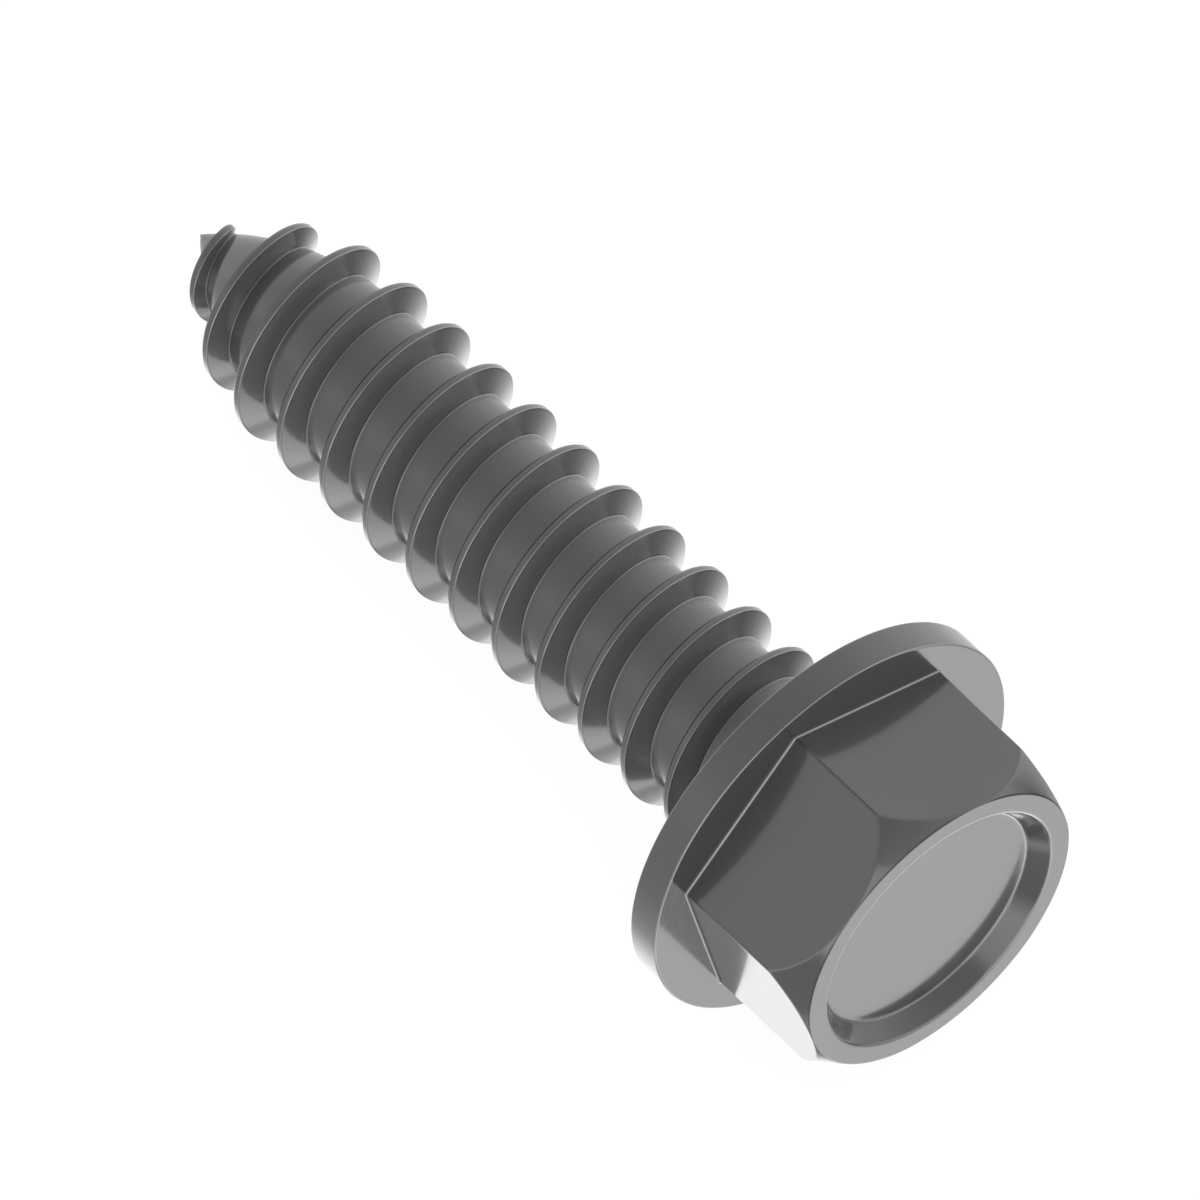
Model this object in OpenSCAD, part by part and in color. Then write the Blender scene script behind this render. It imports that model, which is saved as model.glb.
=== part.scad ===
// Hex flange self-tapping screw, lying on its side on a flat surface.
// One solid: hexagon head with a shallow round dish in its end, round flange,
// shank with a coarse right-hand thread that starts under the flange, and a
// pointed tip.
// The origin is the centre of the flange's bearing face. The screw rests on
// the edge of its flange and on a thread crest near the tip, so the head end
// of its axis, towards +X, is a little higher than the tip.

/* [Head] */
// Distance between opposite flats of the hexagon
across_flats = 9.46; // [8.8:0.02:10.4]
// Height of the hexagon above the flange
hex_h = 4.61; // [3.8:0.01:6]
// How far down each corner of the hexagon the crown reaches
crown_drop = 1.19; // [0.7:0.01:1.6]
// Radius of the crown's rounding, seen from the side
crown_r = 3.14; // [2.6:0.01:5]
// Turn of the hexagon about the axis, from the side it lies on
hex_turn = 9.2; // [0:0.1:60]

/* [Flange] */
// Diameter of the flange
flange_d = 12.74; // [12:0.02:15]
// Thickness of the flange
flange_t = 1.03; // [0.8:0.01:1.6]
// Width of the small bevel on the edges of the flange and the dish, and round
// the hexagon's foot
edge = 0.05; // [0.02:0.01:0.08]

/* [Dish] */
// Diameter of the dish at its mouth
dish_d = 8.14; // [7:0.02:8.4]
// Diameter of the dish's flat bottom
dish_floor_d = 7.33; // [5.5:0.01:7.4]
// Depth of the dish
dish_depth = 0.58; // [0.3:0.01:1]

/* [Thread] */
// Length from the bearing face to the tip
length = 25.53; // [20:0.01:40]
// Outside diameter over the thread
thread_d = 6.13; // [5.9:0.01:6.4]
// Diameter of the shank between the turns
root_d = 4.7; // [4.4:0.01:5]
// Distance from one turn to the next
pitch = 1.814; // [1.6:0.002:2]
// Width of the flat on the thread's crest
crest_w = 0.21; // [0.15:0.01:0.3]
// Slope of the thread's sides from square to the axis
flank_angle = 22; // [18:0.5:26]
// Distance from the bearing face to the first crest on the side it lies on
thread_start = 0.08; // [0:0.01:1.4]

/* [Tip] */
// Length over which the shank narrows to a point
tip_len = 6; // [5.6:0.05:8]
// Length over which the thread's outside narrows
crest_tip_len = 5.5; // [5.2:0.05:6]
// Radius of the curve that the narrowing crests follow
crest_curve_r = 6.28; // [6.2:0.02:8]

/* [Hidden] */
$fn = 96;
// Steps of the thread in one turn
steps = 48;
// How far a shape that is cut or cut away runs past what it meets
beyond = 1;
rim_r = flange_d / 2;
flat_r = across_flats / 2;
corner_r = flat_r / cos(30);
head_top = flange_t + hex_h;

// Shank radius at a distance up from the tip. It follows an arc that runs
// into the shank's straight side, and the very tip keeps a radius of its own.
root_r = root_d / 2;
root_curve_r = (tip_len * tip_len + root_r * root_r) / (2 * root_r);
point_r = 0.01;
function dip(r, back) = r - sqrt(max(r * r - back * back, 0));
function shank_r(up) =
    max(root_r - dip(root_curve_r, max(tip_len - up, 0)), point_r);

// Crest radius at a distance up from the tip. The ridge fades out where this
// comes down to the shank, and keeps the least height and width below.
faded_h = 0.004;
faded_w = 0.012;
function crest_r(up) = max(
    thread_d / 2 - dip(crest_curve_r, max(crest_tip_len - up, 0)),
    shank_r(up) + faded_h);

// Half width of the ridge at its foot, on side s: 1 towards the head and -1
// towards the tip. Found by stepping the foot out to where the side meets
// the shank.
function foot(up, s, half, n = 7, d = 0) = n == 0
    ? max(d, half + faded_w)
    : foot(up, s, half, n - 1, half
        + (crest_r(up) - shank_r(up + s * d)) * tan(flank_angle));

// Height of the crest line above the tip at step i. It starts inside the
// head, drops one pitch a turn, and over the last turn closes in on the point.
start_up = length + 1.7 * pitch;
last_turn_up = 0.36;
closing = 0.8;
fade_i = ceil((start_up - last_turn_up) / pitch * steps);
last_i = fade_i + steps;
function line_up(i) = i <= fade_i
    ? start_up - pitch * i / steps
    : line_up(fade_i) * exp(-closing * (i - fade_i) / steps);

// Half the width of the crest's flat, which narrows towards the point
narrowing = 0.27;
function half_w(up) = min(crest_w / 2, narrowing * up);

// Angle about the axis at step i, from the side it lies on
start_turn = (start_up - length + thread_start) / pitch * 360;
function step_turn(i) = start_turn - 360 * i / steps;

function at(r, turn, up) = [r * cos(turn), r * sin(turn), up - length];

// Points of one step, from the head side of the ridge to its tip side, and
// one in the middle of the land below it. Near the point the ridge's foot and
// the land keep to these shares of the height that is left.
foot_share = 0.55;
land_share = 0.75;
function land_up(i, low) = i + steps <= last_i
    ? (low + line_up(i + steps)
        + foot(line_up(i + steps), 1, half_w(line_up(i + steps)))) / 2
    : low * land_share;
function step_points(i) =
    let (up = line_up(i), half = half_w(up), turn = step_turn(i),
        high = up + foot(up, 1, half),
        low = max(up - foot(up, -1, half), up * foot_share),
        mid = land_up(i, low))
    [at(shank_r(high), turn, high), at(crest_r(up), turn, up + half),
        at(crest_r(up), turn, up - half), at(shank_r(low), turn, low),
        at(shank_r(mid), turn, mid)];

module threaded_shank() {
    cols = 5;
    points = [for (i = [0:last_i]) each step_points(i)];
    // The last two points are the centre of the top end and the tip itself
    top_i = len(points);
    tip_i = top_i + 1;
    function at_step(i, c) = c < cols
        ? i * cols + c : (i + steps) * cols + c - cols;
    function last_c(i) = i + steps <= last_i ? cols : cols - 1;
    sides = [for (i = [0:last_i - 1]) for (c = [0:last_c(i + 1) - 1])
        each [[at_step(i, c), at_step(i + 1, c + 1), at_step(i + 1, c)],
            [at_step(i, c), at_step(i, c + 1), at_step(i + 1, c + 1)]]];
    top = concat(
        [for (i = [0:steps - 1]) [top_i, at_step(i, 0), at_step(i + 1, 0)]],
        [for (c = [0:cols - 1]) [top_i, at_step(0, c + 1), at_step(0, c)]]);
    // The last turn's lower edge closes on the tip, and its first step closes
    // on the end of the strip
    first = last_i - steps + 1;
    tip = concat(
        [for (i = [first:last_i - 1])
            [tip_i, at_step(i + 1, cols - 1), at_step(i, cols - 1)]],
        [[at_step(first, cols - 1), at_step(last_i, cols - 1), tip_i]],
        [for (c = [0:cols - 2]) [at_step(first, cols - 1),
            at_step(last_i, c), at_step(last_i, c + 1)]],
        [[at_step(first, cols - 1), at_step(first - 1, cols - 1),
            at_step(last_i, 0)]]);
    polyhedron(
        points = concat(points, [[0, 0, start_up - length], [0, 0, -length]]),
        faces = concat(sides, top, tip), convexity = 12);
}

// The flange, bevelled round both its edges
module flange() {
    rotate_extrude() polygon([[0, 0], [rim_r - edge, 0], [rim_r, edge],
        [rim_r, flange_t - edge], [rim_r - edge, flange_t], [0, flange_t]]);
}

// Centre of the crown's rounding. It runs from the end face, at the middle of
// each flat, to the corners.
chord = [corner_r - flat_r, -crown_drop];
to_centre = sqrt(crown_r * crown_r - chord * chord / 4) / norm(chord);
crown_x = flat_r + chord[0] / 2 + chord[1] * to_centre;
crown_z = head_top + chord[1] / 2 - chord[0] * to_centre;

// The hexagon, rounded off at its end, with a small bevel round its foot
module hexagon() {
    intersection() {
        rotate([0, 0, hex_turn]) cylinder(r = corner_r, h = head_top, $fn = 6);
        rotate_extrude() intersection() {
            square([corner_r + beyond, head_top]);
            union() {
                translate([crown_x, crown_z]) circle(r = crown_r);
                square([crown_x, head_top]);
                square([corner_r + beyond, crown_z]);
            }
        }
    }
    rotate([0, 0, hex_turn]) translate([0, 0, flange_t - edge])
        cylinder(r1 = corner_r + 2 * edge / cos(30), r2 = corner_r,
            h = 2 * edge, $fn = 6);
}

// The dish, with a small bevel round its mouth
module dish() {
    mouth = dish_d / 2;
    rotate_extrude() polygon([[0, head_top - dish_depth],
        [dish_floor_d / 2, head_top - dish_depth],
        [mouth - edge, head_top - edge], [mouth, head_top],
        [mouth, head_top + beyond], [0, head_top + beyond]]);
}

// Lean of the axis when the flange's edge and a crest near the tip rest on
// the same flat surface
lean = min([for (d = [thread_start:pitch:length - 1])
    atan((rim_r - crest_r(length - d)) / (d + crest_w / 2 + edge))]);

module screw() {
    color([0.36, 0.36, 0.37]) rotate([0, 90 - lean, 0]) {
        difference() {
            union() {
                flange();
                hexagon();
            }
            dish();
        }
        threaded_shank();
    }
}

screw();
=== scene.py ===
"""A hex flange self-tapping screw of grey steel, lying on a pale floor.

The frame's one solid is replaced by one piece of the same sizes, made finer
and with the small roundings of its edges. The piece holds two closed surfaces
that overlap: the shank with its thread, and the head. All sizes here are in
millimetres, in the screw's own frame: Z runs along its axis from the tip to
the head, and the origin is the centre of the flange's bearing face.
"""

import bpy
import numpy as np
from mathutils import Matrix, Vector


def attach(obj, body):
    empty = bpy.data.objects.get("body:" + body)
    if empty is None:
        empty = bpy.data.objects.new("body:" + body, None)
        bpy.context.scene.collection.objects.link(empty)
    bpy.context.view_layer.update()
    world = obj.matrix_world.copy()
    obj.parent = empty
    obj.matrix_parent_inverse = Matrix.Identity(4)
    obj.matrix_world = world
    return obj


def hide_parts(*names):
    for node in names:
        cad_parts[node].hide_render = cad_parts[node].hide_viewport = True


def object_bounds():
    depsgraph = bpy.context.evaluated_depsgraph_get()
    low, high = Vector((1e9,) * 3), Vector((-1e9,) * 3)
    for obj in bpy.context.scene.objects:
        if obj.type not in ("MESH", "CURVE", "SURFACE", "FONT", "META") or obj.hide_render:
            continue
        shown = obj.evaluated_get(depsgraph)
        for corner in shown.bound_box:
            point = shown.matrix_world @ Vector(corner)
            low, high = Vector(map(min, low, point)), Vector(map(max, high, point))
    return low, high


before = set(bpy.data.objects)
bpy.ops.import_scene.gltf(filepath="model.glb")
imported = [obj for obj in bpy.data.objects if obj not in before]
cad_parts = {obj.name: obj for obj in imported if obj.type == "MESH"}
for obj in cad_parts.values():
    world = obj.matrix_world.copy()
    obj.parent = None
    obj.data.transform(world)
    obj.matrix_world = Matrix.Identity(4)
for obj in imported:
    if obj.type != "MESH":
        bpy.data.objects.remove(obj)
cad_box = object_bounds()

MM = 0.001
TINY = 1e-4

# Head
FLAT_R = 9.46 / 2
CORNER_R = FLAT_R / np.cos(np.radians(30))
HEX_TURN = np.radians(9.2)
FLANGE_R = 12.74 / 2
FLANGE_T = 1.03
HEAD_TOP = FLANGE_T + 4.61
CROWN_DROP = 1.19
CROWN_R = 3.14
END_R = FLAT_R - 0.012
DISH_R = 8.14 / 2
DISH_FLOOR_R = 7.33 / 2
DISH_Z = HEAD_TOP - 0.58

# How far the roundings of the head's edges reach
HEX_CORNER_ROUND = 0.10
FLANGE_BEVEL = 0.05
HEX_FOOT_ROUND = 0.06
CROWN_ROUND = 0.04
END_ROUND = 0.02
DISH_ROUND = 0.06

# Shank, thread and tip
LENGTH = 25.53
THREAD_R = 6.13 / 2
ROOT_R = 4.7 / 2
PITCH = 1.814
CREST_HALF = 0.21 / 2
FLANK = np.tan(np.radians(22))
THREAD_START = 0.08
TIP_LEN = 6.0
CREST_TIP_LEN = 5.5
CREST_CURVE_R = 6.28
POINT_R = 0.01
FADED_H = 0.004
FADED_W = 0.012

# How far the roundings of the thread's edges reach
CREST_ROUND = 0.025
CREST_BEVEL = 0.045
FOOT_FILLET = 0.03
FILLET_SHARE = 0.3      # at most, of the land between two turns

# The strip that makes the thread
STEPS = 120             # in one turn
SUNK_TURNS = 1.35       # it starts this far inside the head
LAST_TURN_UP = 0.36     # below this height it closes in on the tip
CLOSING = 0.8           # and each turn brings it down by e to this power
# Near the tip, as shares of the height above it
CREST_SHARE = 0.27      # the crest's half width
FOOT_SHARE = 0.55       # the lowest foot of the ridge's tip side
LAND_SHARE = 0.6        # the end of the land, of the foot's height
# The crest starts to lean with the cone below one height, and is there with
# it after so much more
LEAN_BELOW, LEAN_OVER = 0.62, 0.3
FULL_RIDGE = 0.1        # the height of a ridge whose edges take their full painted highlight and shade

# Where the points stand on the way from one rounding to the next
SIDE_SHARES = [0.06, 0.5, 0.94]
CREST_SHARES = [0.25, 0.75]
BEVEL_SHARES = [0, 0.1, 0.5, 0.9, 1]
LAND_SHARES = [0.04, 0.14, 0.3, 0.5, 0.7, 0.86, 0.96]
FLANGE_SHARES = [0.02, 0.25, 0.5, 0.75, 0.98]
WALL_SHARES = [0.01, 0.06, 0.25, 0.5, 0.75, 0.94, 0.99]
CROWN_SHARES = [0.08, 0.25, 0.45, 0.65, 0.82, 0.94]
END_SHARES = [0.06, 0.35, 0.65, 0.94]
DISH_WALL_SHARES = [0.08, 0.5, 0.92]
SEAT_RINGS = [2.0, 3.5, 5.0, 6.0, 6.28]
DISH_RINGS = [3.5, 3.0, 2.0, 1.0, 0.3]

# The painted highlight or shade on the steps of a rounded edge, as shares of its middle
EDGE_SHADING_STEPS = np.array([0, 0.7, 1, 0.7, 0])

# The screw lies on the edge of its flange and on a crest near the tip
LEAN = np.radians(9.2259)
TO_ROW = np.array([[np.sin(LEAN), 0, np.cos(LEAN)],
                   [0, 1, 0],
                   [-np.cos(LEAN), 0, np.sin(LEAN)]])


def bend(start, corner, end):
    """Rounds a corner of a profile: the parabola that leaves start towards
    corner and reaches end from corner, in as many even steps as EDGE_SHADING_STEPS."""
    t = np.linspace(0, 1, len(EDGE_SHADING_STEPS))
    t = t.reshape(-1, *[1] * np.ndim(start[0]))
    return [(1 - t) ** 2 * a + 2 * t * (1 - t) * b + t * t * c
            for a, b, c in zip(start, corner, end)]


def toward(a, b, length):
    """The point at length from a on the line to b, at most 0.45 of the way."""
    far = np.hypot(b[0] - a[0], b[1] - a[1])
    share = np.minimum(length / np.maximum(far, 1e-9), 0.45)
    return a[0] + (b[0] - a[0]) * share, a[1] + (b[1] - a[1]) * share


def between(a, b, shares):
    """Points at the given shares of the way from a to b."""
    s = np.asarray(shares).reshape(-1, *[1] * np.ndim(a[0]))
    return [p + (q - p) * s for p, q in zip(a, b)]


def shade_edges(parts, tops):
    """The painted highlight or shade at the points of each part: 0, or for a
    rounded edge in tops its top at the middle, and less to both sides."""
    return [0 * part[0] + EDGE_SHADING_STEPS[:, None] * tops[k] if k in tops
            else 0 * part[0] for k, part in enumerate(parts)]


def to_mesh(name, points, faces, edge_shading, matt):
    """A mesh object at the origin, from points in the screw's own frame. At
    each point, one value is a rounded edge's painted highlight, 1, or painted
    shade, -1, and matt is 1 on the thread's sides: less metallic, and lighter in tone as
    painted fill light."""
    mesh = bpy.data.meshes.new(name)
    mesh.from_pydata((points @ TO_ROW.T * MM).tolist(), [], faces)
    mesh.polygons.foreach_set("use_smooth", np.ones(len(mesh.polygons), bool))
    for label, values in (("edge_shading", edge_shading), ("matt", matt)):
        attribute = mesh.attributes.new(label, "FLOAT", "POINT")
        attribute.data.foreach_set("value", values)
    mesh.update()
    obj = bpy.data.objects.new(name, mesh)
    bpy.context.scene.collection.objects.link(obj)
    return obj


# ---- shank and thread

def dip(radius, back):
    """How far an arc of that radius drops at a distance back along it."""
    return radius - np.sqrt(np.maximum(radius ** 2 - back ** 2, 0))


def shank_r(up):
    """Shank radius at a height above the tip: an arc that starts at the tip
    and runs into the straight side at TIP_LEN."""
    curve = (TIP_LEN ** 2 + ROOT_R ** 2) / (2 * ROOT_R)
    drop = dip(curve, np.maximum(TIP_LEN - up, 0))
    return np.maximum(ROOT_R - drop, POINT_R)


def crest_r(up):
    """Crest radius at a height above the tip: an arc of CREST_CURVE_R below
    CREST_TIP_LEN, until the ridge fades into the shank."""
    drop = dip(CREST_CURVE_R, np.maximum(CREST_TIP_LEN - up, 0))
    return np.maximum(THREAD_R - drop, shank_r(up) + FADED_H)


def foot(up, side, half):
    """Half width of the ridge where its side meets the shank, by repeated
    substitution in: half + (crest radius - shank radius) * slope."""
    d = 0 * up
    for _ in range(12):
        d = half + (crest_r(up) - shank_r(up + side * d)) * FLANK
    return np.maximum(d, half + FADED_W)


def thread_surface():
    """The shank with its ridge, as one strip wound round the axis. Step i
    stands at angle start - i * step and crosses one pitch, from the ridge's
    head side over its crest to its tip side and on over the land to the next
    turn. Points, faces, the painted highlight or shade at each point, and how
    matt each point is. The strip is closed at both ends. A point of its
    profile is a height above the tip and a radius."""
    start_up = LENGTH + SUNK_TURNS * PITCH
    fade = int(np.ceil((start_up - LAST_TURN_UP) / PITCH * STEPS))
    last = fade + STEPS
    i = np.arange(last + 1)
    up = start_up - PITCH * i / STEPS
    up = np.where(i <= fade, up, up[fade] * np.exp(-CLOSING * (i - fade) / STEPS))
    turn = ((start_up - LENGTH + THREAD_START) / PITCH - i / STEPS) * 2 * np.pi
    half = np.minimum(CREST_HALF, CREST_SHARE * up)
    high = up + foot(up, 1, half)
    low = np.maximum(up - foot(up, -1, half), up * FOOT_SHARE)

    # towards the tip the crest leans with the cone below it
    lean = np.clip((LEAN_BELOW - up) / LEAN_OVER, 0, 1)
    rise_high = lean * (shank_r(up + half) - shank_r(up))
    rise_low = lean * (shank_r(up - half) - shank_r(up))
    high_foot, high_crest = (high, shank_r(high)), (up + half, crest_r(up) + rise_high)
    low_crest, low_foot = (up - half, crest_r(up) + rise_low), (low, shank_r(low))

    # the fillets run a little way onto the land, which ends at the next turn's
    # ridge, or near the tip at a share of the height
    has_next = i + STEPS <= last
    land_end = np.where(has_next, np.r_[high[STEPS:], high[:STEPS]], low * LAND_SHARE)
    gap_above = np.r_[low[:STEPS] * 0 + 1, low[:-STEPS] - high[STEPS:]]
    gap_below = low - land_end
    reach = np.minimum(FOOT_FILLET, FILLET_SHARE * np.maximum(gap_above, TINY))
    reach_low = np.minimum(FOOT_FILLET, FILLET_SHARE * np.maximum(gap_below, TINY))
    on_land = (high + reach, shank_r(high + reach))
    off_land = (low - reach_low, shank_r(low - reach_low))
    next_start = np.where(has_next, np.r_[(high + reach)[STEPS:], high[:STEPS]],
                          low * LAND_SHARE)
    land = between((off_land[0],), (next_start,), LAND_SHARES)[0]

    side_start = toward(high_foot, high_crest, reach)
    side_end = toward(high_crest, high_foot, CREST_ROUND)
    crest_start = toward(high_crest, low_crest, CREST_ROUND)
    crest_end = toward(low_crest, high_crest, CREST_BEVEL)
    bevel_end = toward(low_crest, low_foot, CREST_BEVEL)
    low_end = toward(low_foot, low_crest, reach_low)
    parts = [bend(on_land, high_foot, side_start),
             between(side_start, side_end, SIDE_SHARES),
             bend(side_end, high_crest, crest_start),
             between(crest_start, crest_end, CREST_SHARES),
             between(crest_end, bevel_end, BEVEL_SHARES),
             between(bevel_end, low_end, SIDE_SHARES),
             bend(low_end, low_foot, off_land),
             [land, shank_r(land)]]
    # painted highlights on both feet of the ridge and on its head-side crest edge, painted
    # shade in the crest's tip-side bevel
    sides, tops = (1, 5), {0: 0.5, 2: 1.0, 4: -1.3, 6: 0.3}
    z = np.concatenate([part[0] for part in parts]).T
    r = np.concatenate([part[1] for part in parts]).T
    ridge = np.clip((crest_r(up) - shank_r(up)) / FULL_RIDGE, 0, 1)
    edge_shading = np.concatenate(shade_edges(parts, tops)) * ridge
    # the thread's two sides are marked for a less metallic, lighter tone: painted fill
    # light in the shade between the ridges
    matt = np.concatenate([0 * part[0] + (k in sides)
                           for k, part in enumerate(parts)])

    points = np.stack([r * np.cos(turn)[:, None], r * np.sin(turn)[:, None],
                       z - LENGTH], -1).reshape(-1, 3)
    top, tip = len(points), len(points) + 1
    points = np.vstack([points, [0, 0, start_up - LENGTH], [0, 0, -LENGTH]])
    edge_shading = np.r_[edge_shading.T.reshape(-1), 0, 0]
    matt = np.r_[matt.T.reshape(-1), 0, 0]
    cols = z.shape[1]

    def place(step, col):
        """A point's number. One past a step's last is the next turn's first."""
        return np.where(col < cols, step * cols + col, (step + STEPS) * cols)

    def quads(steps, columns):
        a, c = np.meshgrid(steps, columns, indexing="ij")
        return np.stack([place(a, c), place(a + 1, c), place(a + 1, c + 1),
                         place(a, c + 1)], -1).reshape(-1, 4).tolist()

    # each turn joins the next one, and the last turn ends at its land
    first = last - STEPS + 1
    faces = quads(np.arange(first - 1), np.arange(cols))
    faces += quads(np.arange(first - 1, last), np.arange(cols - 1))
    # the first turn's upper edge and its first profile close on the top
    ring = np.arange(STEPS) * cols
    rim = np.r_[np.arange(cols), STEPS * cols]
    faces += np.stack([0 * ring + top, ring + cols, ring], -1).tolist()
    faces += np.stack([0 * rim[1:] + top, rim[:-1], rim[1:]], -1).tolist()
    # the last turn's lower edge closes on the tip, and its last profile on
    # the start of that edge
    edge = np.arange(first, last + 1) * cols + cols - 1
    faces += np.stack([0 * edge[1:] + tip, edge[:-1], edge[1:]], -1).tolist()
    faces += [[edge[0], tip, edge[-1]]]
    lasts = last * cols + np.arange(cols)
    faces += np.stack([0 * lasts[1:] + edge[0], lasts[1:], lasts[:-1]], -1).tolist()
    faces += [[edge[0], last * cols, edge[0] - cols]]
    return points, faces, edge_shading, matt


# ---- head

def hexagon():
    """The hexagon's outline, as angles round the axis, their distance from
    the nearest corner, half the angle that a rounded corner takes, and the
    radius at each: FLAT_R / cos(angle from the flat's middle), or on a corner
    the circle of HEX_CORNER_ROUND that touches both flats."""
    sixth = np.pi / 3
    centre = CORNER_R - HEX_CORNER_ROUND / np.cos(sixth / 2)
    reach = np.arctan2(HEX_CORNER_ROUND / 2,
                       centre + HEX_CORNER_ROUND * np.cos(sixth / 2))
    away = np.array([0, 0.01, 0.03, 0.07, 0.14])
    corner = np.r_[np.linspace(-1, 1, 9)[:-1] * reach, reach + away]
    flat = np.linspace(corner[-1], sixth - reach - away[-1], 30)[1:]
    sector = np.r_[corner, flat, sixth - reach - away[3:0:-1]]
    from_corner = np.tile(sector, 6)
    angle = from_corner + np.repeat(np.arange(6), len(sector)) * sixth + HEX_TURN
    off = np.abs(np.minimum(from_corner, sixth - from_corner))
    rounded = centre * np.cos(off) + np.sqrt(
        np.maximum(HEX_CORNER_ROUND ** 2 - (centre * np.sin(off)) ** 2, 0))
    radius = np.where(off < reach, rounded, FLAT_R / np.cos(sixth / 2 - off))
    return angle, off, reach, radius


def head_surface():
    """Flange, hexagon, crown and dish, as rings of points round the axis. A
    ring gives radius and height at each angle, and two centre points close
    the surface. Points, faces, and the painted highlight or shade at each point."""
    angle, off, reach, hex_r = hexagon()
    one = np.ones_like(angle)

    # the crown is an arc in side view, from the hexagon's corner to the end
    # face's edge; its centre stands off the middle of the line between them
    run, drop = CORNER_R - END_R, -CROWN_DROP
    to_centre = np.sqrt(CROWN_R ** 2 - (run ** 2 + drop ** 2) / 4)
    to_centre = to_centre / np.hypot(run, drop)
    crown_x = END_R + run / 2 + drop * to_centre
    crown_z = HEAD_TOP + drop / 2 - run * to_centre

    def crown(r):
        return crown_z + np.sqrt(CROWN_R ** 2 - (r - crown_x) ** 2)

    def ring(radius, height):
        return one * radius, one * height

    def span(before, after, shares):
        """Rings on the way from a part's last ring to another's first."""
        return between([v[-1] for v in before], [v[0] for v in after], shares)

    crown_w = hex_r - END_R
    step = np.minimum(CROWN_ROUND, 0.35 * crown_w)
    rim_low = bend(ring(FLANGE_R - FLANGE_BEVEL, 0), ring(FLANGE_R, 0),
                   ring(FLANGE_R, FLANGE_BEVEL))
    rim_high = bend(ring(FLANGE_R, FLANGE_T - FLANGE_BEVEL),
                    ring(FLANGE_R, FLANGE_T),
                    ring(FLANGE_R - FLANGE_BEVEL, FLANGE_T))
    hex_foot = bend(ring(hex_r + HEX_FOOT_ROUND, FLANGE_T),
                    ring(hex_r, FLANGE_T),
                    ring(hex_r, FLANGE_T + HEX_FOOT_ROUND))
    into_crown = bend(ring(hex_r, crown(hex_r) - CROWN_ROUND),
                      ring(hex_r, crown(hex_r)),
                      ring(hex_r - step, crown(hex_r - step)))
    crown_rings = (hex_r - step
                   - (crown_w - 2 * step) * np.array(CROWN_SHARES)[:, None])
    over = bend(ring(END_R + step, crown(END_R + step)), ring(END_R, HEAD_TOP),
                ring(END_R - END_ROUND, HEAD_TOP))
    wall = np.hypot(DISH_R - DISH_FLOOR_R, HEAD_TOP - DISH_Z)
    in_r = DISH_ROUND * ((DISH_R - DISH_FLOOR_R) / wall)
    in_z = DISH_ROUND * ((HEAD_TOP - DISH_Z) / wall)
    mouth = bend(ring(DISH_R + DISH_ROUND, HEAD_TOP), ring(DISH_R, HEAD_TOP),
                 ring(DISH_R - in_r, HEAD_TOP - in_z))
    dish_floor = bend(ring(DISH_FLOOR_R + in_r, DISH_Z + in_z),
                      ring(DISH_FLOOR_R, DISH_Z),
                      ring(DISH_FLOOR_R - DISH_ROUND, DISH_Z))
    seat_r = np.array(SEAT_RINGS)[:, None]
    floor_r = np.array(DISH_RINGS)[:, None]
    parts = [ring(seat_r, 0 * seat_r),
             rim_low, span(rim_low, rim_high, SIDE_SHARES),
             rim_high, span(rim_high, hex_foot, FLANGE_SHARES),
             hex_foot, span(hex_foot, into_crown, WALL_SHARES),
             into_crown, [crown_rings, crown(crown_rings)],
             over, span(over, mouth, END_SHARES),
             mouth, span(mouth, dish_floor, DISH_WALL_SHARES),
             dish_floor, ring(floor_r, 0 * floor_r + DISH_Z)]
    # painted highlights on the flange's two rims, the hexagon's foot and crown edge, and
    # the dish's mouth and floor edge; painted shade on the end face's edge
    tops = {1: 0.7, 3: 0.9, 5: 1.0, 7: 0.15, 9: -0.8, 11: 0.5, 13: 0.6}
    edge_shading = shade_edges(parts, tops)
    # painted shade makes the hexagon's six upright edges a little dark
    edge_shading[6] = edge_shading[6] - 0.25 * np.maximum(1 - (off / reach) ** 2, 0)
    edge_shading = np.r_[np.concatenate(edge_shading).reshape(-1), 0, 0]

    r = np.concatenate([part[0] for part in parts])
    z = np.concatenate([part[1] for part in parts])
    points = np.stack([r * np.cos(angle), r * np.sin(angle), z], -1).reshape(-1, 3)
    points = np.vstack([points, [0, 0, 0], [0, 0, DISH_Z]])
    count, around = r.shape
    k, j = np.meshgrid(np.arange(count - 1), np.arange(around), indexing="ij")
    n = (j + 1) % around
    faces = np.stack([k * around + j, k * around + n, (k + 1) * around + n,
                      (k + 1) * around + j], -1).reshape(-1, 4).tolist()
    j = np.arange(around)
    n = (j + 1) % around
    end = (count - 1) * around
    faces += np.stack([n, j, 0 * j + count * around], -1).tolist()
    faces += np.stack([end + j, end + n, 0 * j + count * around + 1], -1).tolist()
    return points, faces, edge_shading


# ---- materials

# Outputs by their place in the node
OBJECT, GENERATED = 3, 0
FACTOR = 2
MIXED_COLOUR = 2
CAMERA_RAY, GLOSSY_RAY, TRANSMISSION_RAY = 0, 3, 6


class Sock:
    """A node's output that takes part in Python arithmetic."""

    def __init__(self, finish, socket):
        self.finish, self.socket = finish, socket

    def _math(self, operation, *values):
        return self.finish.node("ShaderNodeMath", {"operation": operation},
                                *values)[0]

    def __add__(self, other):
        return self._math("ADD", self, other)

    def __mul__(self, other):
        return self._math("MULTIPLY", self, other)

    def __sub__(self, other):
        return self._math("SUBTRACT", self, other)

    def __rsub__(self, other):
        return self._math("SUBTRACT", other, self)

    def clip(self):
        """The value, kept between 0 and 1."""
        return self.finish.node("ShaderNodeClamp", None, self)[0]

    __radd__, __rmul__ = __add__, __mul__


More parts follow.
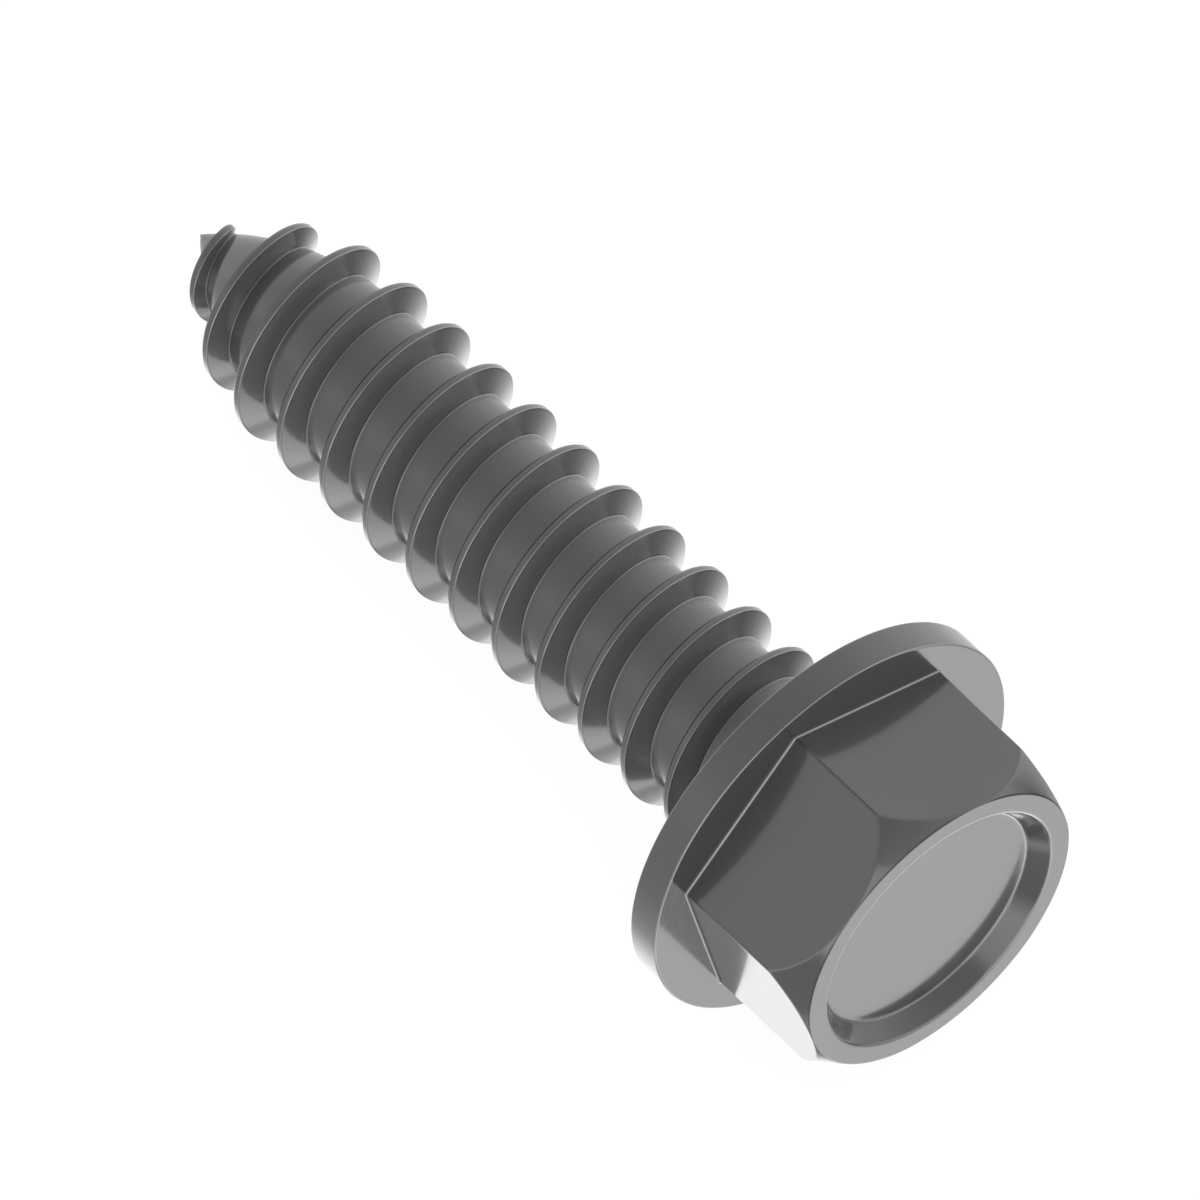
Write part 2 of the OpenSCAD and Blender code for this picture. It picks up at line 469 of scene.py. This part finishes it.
class Finish:
    """A material, or the world, and its nodes."""

    def __init__(self, name, tree=None):
        if tree is None:
            self.material = bpy.data.materials.new(name)
            self.material.use_nodes = True
            tree = self.material.node_tree
        self.tree = tree
        tree.nodes.clear()

    def node(self, kind, settings=None, *values, **named):
        """A node of that type, with its settings made first and then the
        values or links of its inputs, by order or by name, where None leaves
        one as it is. Its outputs."""
        node = self.tree.nodes.new(kind)
        for key, value in (settings or {}).items():
            setattr(node, key, value)
        pairs = list(enumerate(values))
        pairs += [(key.replace("_", " "), value) for key, value in named.items()]
        for key, value in pairs:
            if isinstance(value, Sock):
                self.tree.links.new(value.socket, node.inputs[key])
            elif value is not None:
                node.inputs[key].default_value = value
        return [Sock(self, out) for out in node.outputs]


def steel():
    """Satin grey steel: a faintly mottled tone, painted highlights and shade on
    rounded edges, and thread sides less metallic with painted fill light."""
    m = Finish("satin_steel")
    place = m.node("ShaderNodeTexCoord")[OBJECT]
    # turned so that its Z runs along the screw
    axis = m.node("ShaderNodeMapping", {"vector_type": "TEXTURE"}, place,
                  Rotation=(0, np.pi / 2 - LEAN, 0))[0]
    cloud = m.node("ShaderNodeTexNoise", None, Vector=axis, Scale=260.0,
                   Detail=4.0, Roughness=0.55)[0]
    fine = m.node("ShaderNodeTexNoise", None, Vector=axis, Scale=2600.0,
                  Detail=3.0, Roughness=0.6)[0]
    edge_shading = m.node("ShaderNodeAttribute", {"attribute_name": "edge_shading"})[FACTOR]
    matt = m.node("ShaderNodeAttribute", {"attribute_name": "matt"})[FACTOR]
    # painted highlight where the edge value is above 0, painted shade where it is below
    painted_highlight = (edge_shading * (0.6 + cloud * 0.6)).clip()
    painted_shade = (edge_shading * -1).clip()

    def blend(share, first, second):
        """The colour at that share of the way from first to second, which are
        the node's seventh and eighth inputs."""
        return m.node("ShaderNodeMix", {"data_type": "RGBA"}, share,
                      *[None] * 5, first, second)[MIXED_COLOUR]

    tone = blend(cloud, (0.197, 0.197, 0.2, 1), (0.223, 0.223, 0.225, 1))
    # the thread's sides lighter, and below less metallic: painted fill light
    tone = blend(matt, tone, (0.26, 0.26, 0.262, 1))
    # the painted highlight's colour, then the painted shade's colour
    tone = blend(painted_highlight, tone, (0.6, 0.6, 0.602, 1))
    tone = blend(painted_shade, tone, (0.03, 0.03, 0.031, 1))
    rough = 0.13 + cloud * 0.05 + fine * 0.03 - painted_highlight * 0.04
    bump = m.node("ShaderNodeBump", None, Strength=0.015, Distance=0.00002,
                  Height=fine)
    shader = m.node("ShaderNodeBsdfPrincipled", None, Base_Color=tone,
                    Metallic=0.8 - matt * 0.14, Roughness=rough, Normal=bump[0],
                    Coat_Weight=1.0, Coat_Roughness=0.08)
    m.node("ShaderNodeOutputMaterial", None, shader[0])
    return m.material


def pale_floor():
    """A pale matt floor that shows as white round the screw's soft shadow.
    Glossy rays pass it and meet the studio's pale lower half."""
    m = Finish("pale_floor")
    path = m.node("ShaderNodeLightPath")
    matt = m.node("ShaderNodeBsdfDiffuse", None, (0.8, 0.8, 0.8, 1))
    dim = m.node("ShaderNodeBsdfDiffuse", None, (0.2, 0.2, 0.2, 1))
    glow = m.node("ShaderNodeEmission", None, (1, 1, 1, 1), 0.9)
    lit = m.node("ShaderNodeAddShader", None, dim[0], glow[0])
    seen = m.node("ShaderNodeMixShader", None,
                  path[CAMERA_RAY] + path[TRANSMISSION_RAY], matt[0], lit[0])
    clear = m.node("ShaderNodeBsdfTransparent")
    both = m.node("ShaderNodeMixShader", None, path[GLOSSY_RAY], seen[0], clear[0])
    m.node("ShaderNodeOutputMaterial", None, both[0])
    return m.material


# The studio's soft round patches: the turn and height of the middle in
# degrees, the cosines of the angles from it at which the patch begins and is
# full, and how much lighter than the rest it is, or darker if below 0
PATCHES = ((15, -46, 0.85, 0.999, 0.66),
           (-30, 22.5, 0.877, 0.92, 0.38),
           (46, -4, 0.9, 0.966, 0.31),
           (43, -20, 0.762, 0.999, -0.55),
           (-57.5, -21, 0.88, 0.944, -0.3),
           (-55, -71.5, 0.936, 0.993, -0.87),
           (-13.5, -59, 0.977, 0.989, -0.65),
           (-129, -14.5, 0.777, 0.988, -0.2))
PLAIN_LIGHT = 0.9


def studio():
    """The world: a plain level for matt surfaces, white for the camera, and
    for glossy rays a room with a dim top and a pale lower half, in which the
    patches hang."""
    world = bpy.data.worlds.new("studio")
    world.use_nodes = True
    sky = Finish("studio", world.node_tree)
    path = sky.node("ShaderNodeLightPath")
    direction = sky.node("ShaderNodeTexCoord")[GENERATED]
    y, z = sky.node("ShaderNodeSeparateXYZ", None, direction)[1:]

    def rise(value, low, high, top):
        """A soft step of value from low to high, times top."""
        return sky.node("ShaderNodeMapRange", {"interpolation_type": "SMOOTHSTEP"},
                        value, low, high, 0.0, top)[0]

    above, below = z.clip(), (z * -1).clip()
    room = (0.62 - above * 0.38 + below * 0.04 + y * 0.015
            + rise(below, 0.78, 0.96, 0.66))
    for turn, height, begins, full, lighter in PATCHES:
        a, e = np.radians(turn), np.radians(height)
        middle = (np.cos(a) * np.cos(e), np.sin(a) * np.cos(e), np.sin(e))
        near = sky.node("ShaderNodeVectorMath", {"operation": "DOT_PRODUCT"},
                        direction, middle)[1]
        room = room + rise(near, begins, full, lighter)
    level = (PLAIN_LIGHT
             + (1 - PLAIN_LIGHT) * (path[CAMERA_RAY] + path[TRANSMISSION_RAY])
             + (room - PLAIN_LIGHT) * path[GLOSSY_RAY])
    light = sky.node("ShaderNodeBackground", None, (1, 1, 1, 1), level)
    sky.node("ShaderNodeOutputWorld", None, light[0])
    return world


# ---- the screw

shank_points, shank_faces, shank_edge_shading, shank_matt = thread_surface()
head_points, head_faces, head_edge_shading = head_surface()
shift = len(shank_points)
screw = to_mesh("screw_body", np.vstack([shank_points, head_points]),
                shank_faces + [[n + shift for n in f] for f in head_faces],
                np.r_[shank_edge_shading, head_edge_shading], np.r_[shank_matt, head_edge_shading * 0])
screw.data.materials.append(steel())
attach(screw, "root")
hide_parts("screw")

# ---- floor, light and camera

FLOOR_HALF = 3.0        # metres
low_z = cad_box[0][2]
floor_mesh = bpy.data.meshes.new("floor")
floor_mesh.from_pydata([(x * FLOOR_HALF, y * FLOOR_HALF, low_z) for x, y in
                        ((-1, -1), (1, -1), (1, 1), (-1, 1))], [], [(0, 1, 2, 3)])
floor = bpy.data.objects.new("floor", floor_mesh)
bpy.context.scene.collection.objects.link(floor)
floor.data.materials.append(pale_floor())

bpy.context.scene.world = studio()

# the camera looks at aim from the direction back, and right is its right
back = Vector((0.30294, -0.32323, 0.89652))
right = Vector((0.65339, 0.75527, 0.05152))
aim = Vector((-7.593, -1.077, 2.1774)) * MM
away = 0.3              # metres
data = bpy.data.cameras.new("camera")
data.type, data.ortho_scale = "ORTHO", 33.06 * MM
data.clip_start, data.clip_end = 0.001, 5.0
camera = bpy.data.objects.new("camera", data)
camera.matrix_world = Matrix((right, back.cross(right), back)).transposed().to_4x4()
camera.location = aim + back * away
bpy.context.scene.collection.objects.link(camera)
bpy.context.scene.camera = camera
bpy.context.scene.view_settings.view_transform = "Standard"
